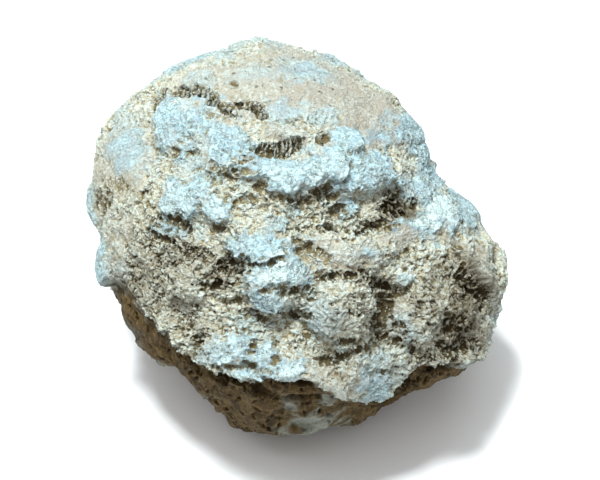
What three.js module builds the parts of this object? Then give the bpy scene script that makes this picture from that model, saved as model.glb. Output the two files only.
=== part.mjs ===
// A whole, uncracked quartz geode, in millimetres, +Z up: one lumpy closed solid on a small flat spot.
// +X is its widest way and -Y is its front. The origin is on the ground, under the middle of its outline.
import * as THREE from "three";
import { mergeVertices } from "three/addons/utils/BufferGeometryUtils.js";

// The body is balls of growth that run into each other: name, centre, half widths.
const BALLS = [
  ["upper", [-8, 7, 7], [44, 46, 40]],
  ["lower", [-2, -6, -8], [41, 43, 35]],
  ["right", [27, -10, -4], [26, 28, 23]],
];
const BALL_BLEND = 6; // mm over which one ball runs into the next
const FOOT_DROP = 42; // the flat spot that it rests on lies this far under the centre of growth
const SPLITS = 20; // each edge of the icosahedron is cut this many times, so the faces are about 3 mm wide
const GIRTH_RADIUS = 48; // widths of features are measured along a ball of this radius

// Knobs that stand out, and hollows that are sunk in: name, turn, rise, width across, width upwards, height.
// Turn is in degrees round from the front towards +X. Rise is degrees above the growth centre's level.
const FEATURES = [
  ["crown", -145, 50, 60, 36, 2.5],
  ["left shoulder", -112, 26, 56, 48, 4],
  ["left bulge", -101, 12, 36, 40, 2],
  ["right shoulder", 122, 52, 40, 30, 3],
  ["notch", 118, 26, 34, 20, -2.5],
  ["right corner", 62, -22, 30, 22, 1.5],
  ["front rim", -14, 4, 84, 30, 3],
  ["left rim", -60, 2, 50, 26, 1],
  ["right rim", 25, 2, 50, 22, 1.5],
  ["front undercut", -14, -22, 90, 26, -2.5],
  ["left undercut", -56, -28, 60, 30, -3],
  ["low undercut", -36, -36, 44, 30, -2.5],
  ["chin undercut", 8, -46, 44, 30, -1.5],
  ["right undercut", 44, -25, 50, 28, -3.5],
  ["left foot knob", -58, -18, 23, 21, 2],
  ["right lip", 50, -8, 18, 14, 1.5],
  ["north knob", -91, 58, 25, 28, 2.2],
  ["north knob tail", -60, 67, 23, 21, 2],
  ["pole hollow", -22, 76, 18, 14, -2],
  ["blue brow left", 1, 67, 25, 21, 2.2],
  ["blue brow right", 50, 70, 28, 21, 2.2],
  ["blue brow end", 58, 57, 23, 18, 2],
  ["brow hollow", 19, 55, 28, 14, -2.2],
  ["cave", 67, 42, 17, 16, -2.2],
  ["slot", 42, 45, 23, 14, -2],
  ["west knob", -58, 47, 21, 20, 2],
  ["west knob tail", -43, 50, 18, 18, 2],
  ["west hole", -52, 41, 16, 14, -2],
  ["side button", -76, 7, 16, 21, 2.2],
  ["middle shelf", -16, 44, 25, 16, 1.5],
  ["middle knob", -9, 33, 22, 20, 2.2],
  ["middle hollow", -4, 25, 21, 14, -2],
  ["crumbly pit", -28, 31, 22, 17, -2.2],
  ["grey knob", 16, 25, 24, 23, 2.2],
  ["tan cushion", 24, 40, 28, 18, 1.5],
  ["east knob", 44, 11, 24, 23, 2],
  ["east valley", 31, 16, 16, 28, -2],
  ["east hollow", 56, 6, 24, 26, -2],
  ["rim knob", -21, 9, 23, 17, 1.5],
  ["rim button", -3, 7, 17, 14, 1.5],
  ["rim cushion", 12, 3, 23, 16, 1.5],
];

// The back and the underside carry plainer knobs and hollows, spread evenly along a spiral.
const SPIRAL_STEPS = 110;
const SPIRAL_TURN = 137.5; // degrees from one to the next, the golden angle
const PLAIN_WIDTH = [18, 32]; // mm, from least to most
const PLAIN_PROPORTION = [0.7, 1.1]; // width upwards over width across
const PLAIN_HEIGHT = [-2.2, 3]; // mm, a hollow below nought
const UNDERSIDE_RISE = -14; // degrees: everything lower than this is underside

// The unit vector that points this turn and rise.
function direction(turn, rise) {
  const a = THREE.MathUtils.degToRad(turn);
  const e = THREE.MathUtils.degToRad(rise);
  return new THREE.Vector3(Math.sin(a) * Math.cos(e), -Math.cos(a) * Math.cos(e), Math.sin(e));
}

// A value between low and high that looks random but is the same each time.
function scattered(seed, [low, high]) {
  const wave = Math.abs(Math.sin(seed * 12.9898) * 43758.5453);
  return low + (high - low) * (wave % 1);
}

// One plain feature, at step k of the spiral from the top down to the underside.
function plainFeature(k) {
  const rise = THREE.MathUtils.radToDeg(Math.asin(1 - (2 * k + 1) / SPIRAL_STEPS));
  const across = scattered(k + 1, PLAIN_WIDTH);
  const upwards = across * scattered(k + 2, PLAIN_PROPORTION);
  return ["plain", k * SPIRAL_TURN, rise, across, upwards, scattered(k + 3, PLAIN_HEIGHT)];
}

// Whether a feature lies on the back or the underside, away from the named features of the upper front.
function isHidden([, turn, rise]) {
  return rise < UNDERSIDE_RISE || direction(turn, rise).dot(direction(0, 45)) < -0.15;
}

const plainFeatures = Array.from({ length: SPIRAL_STEPS }, (_, k) => plainFeature(k)).filter(isHidden);

// How far a ray from the growth centre runs before it leaves this ellipsoid, or its nearest pass at a miss.
function exitDistance(ray, centre, halfWidths) {
  const widths = new THREE.Vector3(...halfWidths);
  const c = new THREE.Vector3(...centre).divide(widths);
  const d = ray.clone().divide(widths);
  const along = d.dot(c);
  const square = d.lengthSq();
  const depth = Math.max(0, along * along - square * (c.lengthSq() - 1));
  return (along + Math.sqrt(depth)) / square;
}

// The body's radius along a ray: a soft maximum over its balls.
function bodyRadius(ray) {
  const sum = BALLS.reduce((total, [, centre, widths]) => {
    return total + Math.exp(exitDistance(ray, centre, widths) / BALL_BLEND);
  }, 0);
  return BALL_BLEND * Math.log(sum);
}

// How far one feature lifts the surface where this ray meets it: a smooth mound with an oval foot.
function lift(ray, [, turn, rise, across, upwards, height]) {
  const centre = direction(turn, rise);
  if (ray.dot(centre) <= 0) return 0;
  const level = direction(turn + 90, 0);
  const upright = new THREE.Vector3().crossVectors(level, centre);
  const x = (2 * GIRTH_RADIUS * ray.dot(level)) / across;
  const y = (2 * GIRTH_RADIUS * ray.dot(upright)) / upwards;
  return height * Math.max(0, 1 - x * x - y * y) ** 2;
}

// The closed surface: every corner of a fine icosahedron moves out to the geode's radius. The foot is flat.
function geodeGeometry() {
  const ball = new THREE.IcosahedronGeometry(1, SPLITS).deleteAttribute("normal").deleteAttribute("uv");
  const geometry = mergeVertices(ball);
  const features = [...FEATURES, ...plainFeatures];
  const corners = geometry.getAttribute("position");
  for (let i = 0; i < corners.count; i += 1) {
    const ray = new THREE.Vector3().fromBufferAttribute(corners, i).normalize();
    const radius = features.reduce((total, feature) => total + lift(ray, feature), bodyRadius(ray));
    const point = ray.multiplyScalar(radius);
    corners.setXYZ(i, point.x, point.y, Math.max(point.z, -FOOT_DROP));
  }
  geometry.computeBoundingBox();
  const middle = geometry.boundingBox.getCenter(new THREE.Vector3());
  geometry.translate(-middle.x, -middle.y, FOOT_DROP);
  geometry.computeVertexNormals();
  return geometry;
}

const rind = new THREE.MeshStandardMaterial({ color: 0xb8b6a6, roughness: 0.92, metalness: 0 });
const geode = new THREE.Mesh(geodeGeometry(), rind);
geode.name = "geode";

const group = new THREE.Group();
group.add(geode);
export default group;
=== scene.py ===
# %% [markdown]
# # A whole quartz geode
# A geode grows inside a bubble in rock. Its outside is a crust: crumbs of quartz and chalcedony, cemented
# together, with pale blue, chalky plates on the lumps, a smoother tan skin on top, and brown dirt in the
# pits. It could be sculpted by hand, but then it could not be changed by a number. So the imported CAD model
# gives the lumpy body, and this notebook grows the crust on it with formulas, in millimetres, from the
# widest forms to the finest grains.

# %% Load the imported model
import itertools
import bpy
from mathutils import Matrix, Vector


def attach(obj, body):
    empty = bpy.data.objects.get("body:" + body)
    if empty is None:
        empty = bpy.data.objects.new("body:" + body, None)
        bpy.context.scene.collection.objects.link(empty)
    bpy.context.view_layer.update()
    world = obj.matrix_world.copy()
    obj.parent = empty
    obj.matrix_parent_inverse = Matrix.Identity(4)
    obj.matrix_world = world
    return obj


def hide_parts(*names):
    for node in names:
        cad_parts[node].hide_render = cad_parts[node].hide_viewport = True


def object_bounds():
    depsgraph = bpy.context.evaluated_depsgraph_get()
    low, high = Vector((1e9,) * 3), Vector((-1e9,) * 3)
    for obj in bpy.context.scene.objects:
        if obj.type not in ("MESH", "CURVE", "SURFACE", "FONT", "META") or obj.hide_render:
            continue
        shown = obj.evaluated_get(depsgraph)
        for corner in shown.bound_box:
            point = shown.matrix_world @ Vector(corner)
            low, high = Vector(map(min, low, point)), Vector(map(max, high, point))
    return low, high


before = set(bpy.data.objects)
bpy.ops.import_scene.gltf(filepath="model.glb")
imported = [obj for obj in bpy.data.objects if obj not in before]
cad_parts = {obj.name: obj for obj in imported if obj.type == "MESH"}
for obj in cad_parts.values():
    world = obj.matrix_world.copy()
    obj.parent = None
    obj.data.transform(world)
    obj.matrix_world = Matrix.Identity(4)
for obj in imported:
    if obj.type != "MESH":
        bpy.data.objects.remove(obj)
from concurrent.futures import ThreadPoolExecutor
from functools import partial
import bpy
import numpy as np
from mathutils import Vector

cad_box = [[float(x) for x in corner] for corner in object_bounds()]
print("CAD box, m:", cad_box)

# %% [markdown]
# ## Reading the body
# The CAD body is one closed solid of flat facets, 3 mm wide, about a centre of growth that lies 42 mm above
# the foot. A radius for each direction tells all of its shape, so the corners are read once and kept as
# directions and radii.

# %% Read the CAD body as directions and radii
MM = 0.001
CENTRE = np.array([1.1, -0.9, 42.0])  # the centre of growth, in mm


def read_corners(mesh):
    """The places of a mesh's corners, in mm, each once."""
    flat = np.empty(len(mesh.vertices) * 3, np.float32)
    mesh.vertices.foreach_get("co", flat)
    return np.unique((flat.reshape(-1, 3) / MM).round(3), axis=0)


def lengths(vectors):
    """The length of each vector."""
    return np.sqrt((vectors * vectors).sum(axis=-1))


spokes = read_corners(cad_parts["geode"].data) - CENTRE
cad_radii = lengths(spokes)
cad_rays = spokes / cad_radii[:, None]
print(f"{len(cad_radii)} CAD corners, radii {cad_radii.min():.1f} to {cad_radii.max():.1f} mm")

# %% [markdown]
# ## An even skin to work in
# A ball made of rings and a pole has faces that shrink to slivers at the poles. A cube blown up into a ball
# has six square grids instead, so its faces are all nearly one size. Each side is a function of two
# parameters, and the sides share the corners along their edges, so the skin has no gap. Crumbs of half a
# millimetre need a grid of a quarter of a millimetre, which is nearly a million triangles. That is too many
# for one mesh, so the six sides later become six wedges of the stone that meet face to face.

# %% Six square grids make one closed ball
SPLITS = 280  # faces along each edge of the cube
SIDES = ("right", "left", "back", "front", "top", "foot")


def cube_ball(splits):
    """Directions of the corners of a cube blown up into a ball, and each side's grid of corner numbers.
    Corner (u, v) of a side lies on the cube's surface, and tan(u x 45 degrees) and tan(v x 45 degrees) space
    the corners evenly round the ball."""
    u, v = np.meshgrid(np.arange(splits + 1), np.arange(splits + 1), indexing="ij")
    near, far = np.zeros_like(u), np.full_like(u, splits)
    sides = [(far, u, v), (near, v, u), (v, far, u), (u, near, v), (u, v, far), (v, u, near)]
    lattice = np.stack([np.stack(side, axis=-1) for side in sides])
    keys = lattice @ [1, splits + 1, (splits + 1) ** 2]
    _, first_at, number = np.unique(keys.ravel(), return_index=True, return_inverse=True)
    spread = np.tan((2 * lattice.reshape(-1, 3)[first_at] / splits - 1) * np.pi / 4)
    return spread / lengths(spread)[:, None], number.reshape(6, splits + 1, splits + 1)


def squares(grid):
    """The four-cornered faces of a grid of corner numbers."""
    return np.stack([grid[..., :-1, :-1], grid[..., 1:, :-1], grid[..., 1:, 1:], grid[..., :-1, 1:]], axis=-1)


GATHER = 0.12  # how far the grid is drawn together towards the front and top, where the crust has most detail


def gathered(rays):
    """The directions, drawn together towards the front and top."""
    rays = rays + GATHER * np.array([0.0, -0.7, 0.7])
    return rays / lengths(rays)[:, None]


rays, grid = cube_ball(SPLITS)
rays = gathered(rays)
quads = squares(grid).reshape(-1, 4)
print(f"{len(rays)} corners and {len(quads)} four-cornered faces")

# %% [markdown]
# The facets of the CAD body would show as flat spots. So each new radius is the mean of the CAD radii round
# it, weighted by a bell curve about as wide as half a facet: the lumps stay, and the facets melt away. That
# is worked out on a grid four times coarser, and the corners between take their share of the nearest two
# along each side.

# %% Lay the skin over the CAD body
BELL = 0.034  # radians: how far round a direction the bell curve reaches
COARSER = 4  # how many times wider the faces of the first, coarser grid are
SLICES = 8  # the grid is worked out in this many parts, to save memory


def smooth_radii(rays):
    """The mean CAD radius round each ray, weighted by exp((cosine of the angle - 1) / BELL squared)."""
    cosines = rays.astype(np.float32) @ cad_rays.T.astype(np.float32)
    weights = np.exp((cosines - 1) / BELL**2)
    return weights @ cad_radii / weights.sum(axis=1)


few_rays, few_grid = cube_ball(SPLITS // COARSER)
few_radii = np.concatenate([smooth_radii(some) for some in np.array_split(gathered(few_rays), SLICES)])
few_steps = np.arange(SPLITS + 1)[:, None] / COARSER
share = np.clip(1 - np.abs(few_steps - np.arange(SPLITS // COARSER + 1)), 0, 1)
radii = np.empty(len(rays))
radii[grid] = share @ few_radii[few_grid] @ share.T
print(f"radii of the skin, mm: {radii.min():.1f} to {radii.max():.1f}")

# %% [markdown]
# The coarser grid leaves faint steps. A sander would take them off, and here each corner takes the mean of
# itself and its neighbours a few times, which does the same. Later the same tool tells which corners lie
# sunk in the crust.

# %% Even out the skin
SANDED = 8  # times
edges = np.sort(np.concatenate([quads[:, [k, (k + 1) % 4]] for k in range(4)]), axis=1)
edges = np.unique(edges @ [len(rays), 1])
edges = np.stack([edges // len(rays), edges % len(rays)], axis=1)
ends = np.concatenate([edges, edges[:, ::-1]])
neighbour_count = np.bincount(ends[:, 0], minlength=len(rays))


def evened(values, times):
    """The values after each corner has taken the mean of itself and its neighbours, this many times."""
    for _ in range(times):
        columns = values if values.ndim == 2 else values[:, None]
        sums = np.stack([
            np.bincount(ends[:, 0], column[ends[:, 1]], minlength=len(rays)) for column in columns.T
        ], axis=-1)
        mean = (columns + sums / neighbour_count[:, None]) / 2
        values = mean if values.ndim == 2 else mean[:, 0]
    return values


body = CENTRE + rays * evened(radii, SANDED)[:, None]
print("body box, mm:", body.min(axis=0).round(1), body.max(axis=0).round(1))

# %% [markdown]
# ## Tools for rough stone
# Stone is rough at every scale, and no two places are alike. Random numbers that lie on a lattice in space
# give that, because a place then gets the same number each time it is asked about. The work on half a
# million corners is shared out over the processor's cores.


# %% Random numbers that belong to places
LATTICE = 64  # cells along each side, after which the random numbers repeat
numbers = np.random.default_rng(3).random((LATTICE**3, 4))
PARTS = 32  # the points are worked on in this many parts
pool = ThreadPoolExecutor()


def shared_out(work, points):
    """What `work` makes of the points, done on many parts of them at a time."""
    return np.concatenate(list(pool.map(work, np.array_split(points, PARTS))))


def drawn(cells):
    """The four random numbers of each whole-number cell."""
    a, b, c = (cells % LATTICE).T
    return numbers[(a * LATTICE + b) * LATTICE + c]


print("random numbers:", numbers.size)

# %% [markdown]
# Swells and ripples come from gradient noise, which rises and falls by random slopes. Layers of it, each
# finer than the one before, make a surface that is rough at every scale. Folded at nought, it turns into
# round lumps that meet in creases, like dough. And places that are first moved about by noise bend whatever
# is then drawn on them.


# %% Swells, lumps and bends
def noise(points, size, seed):
    """Gradient noise, about -1 to 1, with lumps `size` mm apart: each corner of the cell round a point has a
    random slope, and the eight slopes are blended by the curve 6t^5 - 15t^4 + 10t^3."""
    def work(some):
        place = some / size + 7.31 * seed
        cell = np.floor(place).astype(np.int64)
        within = place - cell
        ease = within**3 * (within * (within * 6 - 15) + 10)
        total = np.zeros(len(some))
        for corner in itertools.product((0, 1), repeat=3):
            slope = drawn(cell + corner)[:, :3] * 2 - 1
            weight = np.where(np.array(corner) == 1, ease, 1 - ease).prod(axis=-1)
            total += weight * (slope * (within - corner)).sum(axis=-1)
        return 1.6 * total
    return shared_out(work, points)


def rough(points, size, layers, seed, fade=0.5):
    """Layers of noise, each of half the size of the one before and `fade` of its height."""
    return sum(fade**k * noise(points, size / 2**k, seed + 11 * k) for k in range(layers))


def billows(points, size, layers, seed, fade=0.5):
    """Layers of noise without its sign, so that round lumps meet in sharp creases: 0 in a crease, up to 1."""
    return sum(fade**k * np.abs(noise(points, size / 2**k, seed + 13 * k)) for k in range(layers))


def shaken(points, size, far, seed):
    """The places moved about by noise, up to `far` mm, so that what is drawn on them bends."""
    return points + far * np.stack([noise(points, size, seed + k) for k in range(3)], axis=-1)


print("noise, lowest and highest:", noise(body, 5.0, 1).min().round(2), noise(body, 5.0, 1).max().round(2))

# %% [markdown]
# Cobbles, crumbs and pits are separate things lying side by side. Worley noise gives them: a point is
# scattered in each cell of a lattice, and a place belongs to the point that is nearest. Close to a point is
# the middle of a cobble or a pit, and where two points are equally near is the crack between them.


# %% Scattered points
def scattered(points, size, seed):
    """Worley noise with one point scattered in each cell of `size` mm: how far the nearest point lies, and
    the next nearest, in cells, and the nearest one's own number."""
    def work(some):
        place = some / size + 9.17 * seed
        cell = np.floor(place).astype(np.int64)
        first, second, own = np.full(len(some), 9.0), np.full(len(some), 9.0), np.zeros(len(some))
        for step in itertools.product((-1, 0, 1), repeat=3):
            number = drawn(cell + step)
            far = lengths(place - cell - step - number[:, :3])
            second = np.minimum(second, np.maximum(first, far))
            own = np.where(far < first, number[:, 3], own)
            first = np.minimum(first, far)
        return np.stack([first, second, own], axis=-1)
    return shared_out(work, points).T


print("nearest point, in cells:", scattered(body[:1000], 2.0, 1)[0].mean().round(2))

# %% [markdown]
# Two curves join one form to the next without a break: a step and a bell.


# %% A step and a bell
def step_up(value, low, high):
    """0 below low, 1 above high, and the smooth curve 3t^2 - 2t^3 between them."""
    t = np.clip((value - low) / (high - low), 0, 1)
    return t * t * (3 - 2 * t)


def bell(value, middle, width):
    """1 at the middle, falling off by exp(-((value - middle) / width) squared)."""
    return np.exp(-(((value - middle) / width) ** 2))


print("step at a quarter, a half and three quarters:", step_up(np.array([0.25, 0.5, 0.75]), 0, 1))

# %% [markdown]
# ## Which way the crust faces
# Crust grows outwards from its own surface, and what comes loose slides down. So each corner needs the way
# it faces and the way downhill. Blender could tell the first, but only of a finished mesh, and a sum over
# the faces is quick.


# %% Slopes on the skin
def facing(points):
    """The way that the skin faces at each corner: the sum of the cross products of its faces' diagonals."""
    a, b, c, d = (points[quads[:, k]] for k in range(4))
    across = np.cross(c - a, d - b)
    out = np.stack([
        np.bincount(quads.ravel(), np.repeat(across[:, k], 4), minlength=len(points)) for k in range(3)
    ], axis=-1)
    return out / lengths(out)[:, None]


def sunk(points, times):
    """How deep each corner lies under the evened-out skin, in mm."""
    calm = evened(points, times)
    return ((calm - points) * facing(calm)).sum(axis=-1)


LEAN_OUT = 0.6  # how much the way downhill leans out from the upright middle, for each mm down


def downhill(points, out):
    """The way that loose crust would slide on each face: down and outwards, along the skin."""
    aside = (points - CENTRE)[..., :2]
    aside = LEAN_OUT * aside / lengths(aside)[..., None]
    way = np.concatenate([aside, -np.ones_like(aside[..., :1])], axis=-1)
    way = way - out * (way * out).sum(axis=-1)[..., None]
    return way / lengths(way)[..., None]


outwards = facing(body)
print("facing out:", bool(((body - CENTRE) * outwards).sum(axis=-1).min() > 0))

# %% [markdown]
# ## Where the crust changes
# The tables below are spots on the skin. They could be painted by hand, but a table can be read and
# changed. Each has a name, a turn from the front and a rise above the centre, in degrees, its width and its
# height along the skin, in mm, and the lean of its long way, in degrees. A spot's outline is an oval that
# noise bends, because no edge on the crust is smooth.


# %% Spots on the skin
SMALLEST_RADIUS = 34  # mm: no part of the skin lies nearer to the centre of growth


def spot(turn, rise, across, upwards, lean=0.0, wander=0.3):
    """The corners near a spot, how far each lies from its middle, where 1 is its outline, and how far
    downhill, where 1 is its lower edge. The distance is the square root of x^2 + y^2 + z^2, each as a share
    of the spot's half width that way, plus `wander` times noise."""
    a, e, tilt = np.radians([turn, rise, lean])
    ray = np.array([np.sin(a) * np.cos(e), -np.cos(a) * np.cos(e), np.sin(e)])
    towards = rays @ ray
    home = np.argmax(towards)
    reach = 1.3 * max(across, upwards)
    near = np.flatnonzero(towards > np.cos(min(reach / SMALLEST_RADIUS, np.pi)))
    near = near[lengths(body[near] - body[home]) < reach]
    out = outwards[home]
    level = np.cross([0, 0, 1], out)
    level /= lengths(level)
    upright = np.cross(out, level)
    long_way = np.cos(tilt) * level + np.sin(tilt) * upright
    short_way = np.cos(tilt) * upright - np.sin(tilt) * level
    offset = body[near] - body[home]
    deep = max(across, upwards) / 2
    x, y, z = offset @ long_way / (across / 2), offset @ short_way / (upwards / 2), offset @ out / deep
    size = 0.35 * min(across, upwards) + 1.5
    distance = np.sqrt(x * x + y * y + z * z)
    distance += wander * rough(body[near], size, 3, int(abs(turn) + rise + across) + 90, 0.6)
    down = offset @ downhill(body[home], out) / (min(across, upwards) / 2)
    return near, distance, down


_, distance, _ = spot(0, 0, 10, 10)
print("a spot 10 mm wide has", int((distance < 1).sum()), "corners")

# %% [markdown]
# Pale blue plates of chalcedony lie on the lumps like icing, thickest at their lower edge. The last two
# numbers are how far a plate stands out, in mm, and how blue it is.

# %% Chalky plates
PLATES = [
    ("upper left plate", -92, 55, 23, 15, 20, 1.4, 0.9),
    ("second plate", -61, 65, 17, 14, -5, 1.5, 0.9),
    ("second plate foot", -42, 64, 10, 5, 5, 0.9, 1.0),
    ("far left flat", -94, 36, 19, 11, 24, 0.4, 0.65),
    ("far left rim", -107, 34, 21, 8, 23, 0.2, 0.4),
    ("west plate", -58, 45, 13, 11, -46, 1.2, 1.15),
    ("west step", -55, 36, 12, 4, 14, 0.9, 0.8),
    ("west bridge", -53, 52, 8, 7, -17, 0.4, 0.8),
    ("west twin", -40, 50, 8, 8, 0, 1.0, 1.15),
    ("brow left", -7, 68, 17, 11, 1, 2.0, 1.1),
    ("brow middle", 23, 71, 13, 10, -14, 1.6, 1.0),
    ("brow right", 53, 65, 21, 14, -24, 2.0, 1.0),
    ("brow crest", 71, 74, 11, 9, -3, 1.2, 1.0),
    ("brow tip", 31, 56, 7, 5, -15, 1.2, 0.9),
    ("blue among crumbs", -10, 52, 6, 4, -8, 0.3, 0.6),
    ("scarp, left", -111, 84, 10, 8, -25, 0.5, 0.55),
    ("scarp, right", 108, 84, 11, 7, -47, 0.5, 0.5),
    ("white on the cap", 179, 65, 13, 11, 78, 0.1, 0.6),
    ("grey on the cap", -144, 67, 12, 7, -2, 0.1, 0.3),
    ("cap, left", -123, 54, 9, 7, 82, 0.1, 0.35),
    ("cap, back", -146, 51, 12, 7, 57, 0.1, 0.5),
    ("right strip", 110, 48, 24, 8, -38, 0.8, 1.0),
    ("right strip foot", 108, 41, 17, 11, -35, 1.0, 1.0),
    ("right strip, low", 98, 34, 14, 10, -35, 0.6, 0.9),
    ("lobe top", 77, 31, 19, 13, -24, 1.2, 1.5),
    ("lobe edge", 90, 19, 21, 11, -32, 1.0, 1.1),
    ("lobe neck", 78, 42, 12, 7, -31, 0.8, 1.1),
    ("shelf", -16, 45, 17, 7, 8, 1.8, 1.0),
    ("middle knob", -9, 36, 13, 11, -3, 0.8, 1.3),
    ("middle knob foot", -13, 30, 8, 8, 18, 0.6, 0.9),
    ("cream slope", -16, 21, 10, 5, 4, 0.4, 0.5),
    ("fleck on the cushion", 30, 39, 6, 2, -32, 0.2, 0.8),
    ("button", 41, 25, 5, 4, -11, 1.2, 0.6),
    ("rim, left", -21, 12, 14, 7, 17, 1.4, 1.1),
    ("rim, middle", -10, 12, 8, 7, 4, 1.6, 1.2),
    ("rim edge", -14, 7, 13, 3, 0, 1.2, 0.8),
    ("rim, right", -3, 9, 10, 6, 27, 1.6, 1.2),
    ("nose, top", 24, 6, 8, 7, -41, 0.8, 0.5),
    ("nose", 22, -3, 15, 8, -62, 1.2, 0.8),
    ("left bump", -76, 7, 10, 12, 60, 1.8, 1.0),
    ("left bump side", -69, 10, 13, 8, 53, 0.5, 0.5),
    ("chin patch", 5, -27, 15, 11, -54, 0.6, 1.1),
    ("chin fleck", -3, -9, 8, 4, -86, 0.4, 0.7),
    ("chin fleck, right", 8, -6, 8, 4, -73, 0.6, 0.7),
    ("lobe rim", 47, -3, 15, 4, -23, 1.6, 0.35),
    ("pale spot below the knob", 14, 13, 5, 4, -24, 0.8, 0.4),
    ("left foot", -61, -9, 7, 9, 0, 0.3, 0.35),
    ("grey knob, left", 7, 23, 8, 10, 20, 0.3, 0.6),
    ("east knob, left", 34, 11, 8, 9, 30, 0.3, 0.65),
    ("face, low", 45, -1, 8, 6, 0, 0.2, 0.4),
    ("nose, right", 28, 0, 8, 6, 30, 0.3, 0.45),
]
print(len(PLATES), "plates")

# %% [markdown]
# Rounded lumps are smaller than the forms of the CAD body. The last number is how far each stands out, in
# mm.

# %% Lumps
LUMPS = [
    ("middle knob", -9, 33, 16, 15, 0, 4.4),
    ("grey knob", 14, 25, 18, 17, -47, 4.4),
    ("east knob", 39, 14, 16, 12, 32, 4.0),
    ("tan cushion", 19, 41, 21, 10, -19, 2.4),
    ("tan step", 52, 40, 10, 7, -23, 0.8),
    ("nose cushion", 10, 4, 17, 9, -17, 2.2),
    ("left mound", -40, 27, 13, 9, 19, 2.4),
    ("pit mound", -26, 29, 9, 6, 20, 1.8),
    ("rim tooth", -35, 8, 9, 5, 35, 1.4),
    ("lobe ridge", 67, 10, 20, 4, -82, 2.8),
    ("lobe post", 70, 18, 10, 4, 13, 1.2),
    ("pink bulge", -30, 83, 10, 5, -8, 1.0),
    ("tongue in the slot", 29, 52, 8, 3, -41, 0.8),
    ("chin lobe", 10, -26, 18, 11, -71, 1.0),
    ("rim of the lobe, left", 39, -3, 10, 3, 78, 2.0),
    ("rim of the lobe", 45, -1, 11, 3, -31, 2.2),
]
print(len(LUMPS), "lumps")

# %% [markdown]
# Holes and clefts open where crumbs fell out, mostly under plates and between lumps, and they are painted
# darker, with dirt and painted shade. The last number is how deep each is, in mm.

# %% Holes and clefts
HOLES = [
    ("hole in the cap", -126, 66, 3, 2, 16, 2.0),
    ("crack over the brow", 51, 80, 5, 2, -3, 1.7),
    ("crack in the plate", -77, 52, 5, 2, -20, 1.4),
    ("crack in the second plate", -46, 66, 5, 2, 1, 0.8),
    ("under the second plate", -44, 62, 9, 2, 9, 0.9),
    ("under the west plate", -54, 40, 7, 2, 1, 1.2),
    ("pit", -27, 62, 3, 3, 6, 1.0),
    ("pit", -27, 58, 3, 2, 6, 1.0),
    ("pit", -34, 55, 4, 2, -6, 0.9),
    ("pit", -37, 45, 4, 2, 31, 1.6),
    ("under the brow", 3, 59, 10, 3, -20, 2.2),
    ("under the brow, right", 19, 62, 5, 4, -41, 2.0),
    ("under the tip", 26, 55, 5, 3, -15, 1.8),
    ("slot, left", 17, 51, 5, 2, -32, 3.0),
    ("slot, right", 42, 45, 11, 3, -23, 1.7),
    ("cave", 60, 46, 11, 5, -22, 2.6),
    ("left crack", -53, 33, 8, 2, 0, 1.2),
    ("left crack, lower", -42, 35, 9, 3, 7, 1.4),
    ("dark pit", -29, 35, 5, 3, 38, 2.0),
    ("under the shelf", -19, 39, 8, 3, 19, 2.6),
    ("deep pit", -31, 29, 5, 3, 33, 1.6),
    ("crease of the knob", -6, 33, 10, 2, -13, 2.2),
    ("under the knob", -11, 23, 11, 3, -3, 2.0),
    ("under the knob, right", 1, 23, 7, 2, 1, 2.2),
    ("under the cushion", 16, 35, 11, 2, -10, 2.0),
    ("beside the cushion", 1, 46, 5, 2, -30, 1.2),
    ("beside the cushion, low", 8, 43, 5, 2, -30, 1.2),
    ("channel", 34, 25, 8, 2, -37, 2.2),
    ("valley", 30, 18, 16, 7, 88, 1.3),
    ("valley, right", 34, 12, 5, 2, -18, 1.2),
    ("valley foot", 16, 13, 14, 3, -27, 1.8),
    ("crack over the nose", 10, 10, 8, 2, 1, 1.8),
    ("recess in the lobe", 62, 10, 14, 5, -72, 2.2),
    ("streak on the face", 50, 4, 14, 12, 60, 1.5),
    ("notch in the rim", -31, 10, 6, 2, 77, 2.2),
    ("pit in the rim", -7, 11, 6, 3, 75, 1.4),
    ("pit in the rim, right", 1, 4, 4, 3, -17, 1.6),
    ("dent on the left", -88, 19, 14, 7, 45, 0.9),
    ("dent on the left, upper", -86, 29, 11, 4, 37, 0.6),
    ("pit under the lip", -24, 1, 6, 4, 0, 2.2),
    ("pit under the lip", -17, 2, 6, 3, 0, 1.8),
    ("pit under the lip", -10, -2, 7, 4, 0, 2.0),
    ("pit under the lip", 0, -5, 9, 4, 0, 2.0),
    ("under the lobe's rim", 43, -8, 12, 4, -25, 2.2),
]
print(len(HOLES), "holes")

# %% [markdown]
# At its edges the crust hangs down in fringes of short teeth. The last two numbers are how deep the gaps
# between the teeth are and how far apart the teeth stand, in mm.

# %% Fringes
FRINGES = [
    ("fringe, far left", -112, 45, 8, 3, -14, 1.2, 1.1),
    ("fringe, left", -115, 52, 8, 3, 54, 1.4, 1.1),
    ("fringe, top left", -115, 58, 10, 3, 49, 1.4, 1.2),
    ("fringe, top", -106, 64, 8, 3, 49, 1.4, 1.1),
    ("fringe, top right", -98, 68, 6, 3, 55, 1.4, 1.0),
    ("fringe, right", -105, 73, 8, 3, 55, 1.6, 1.2),
    ("fringe, far right", -95, 78, 6, 2, -37, 1.4, 1.0),
    ("fringe of the recess", -33, 76, 12, 3, -19, 1.7, 0.9),
    ("teeth under the lobe", 32, -17, 10, 15, 0, 1.6, 1.7),
]
print(len(FRINGES), "fringes")
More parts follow.
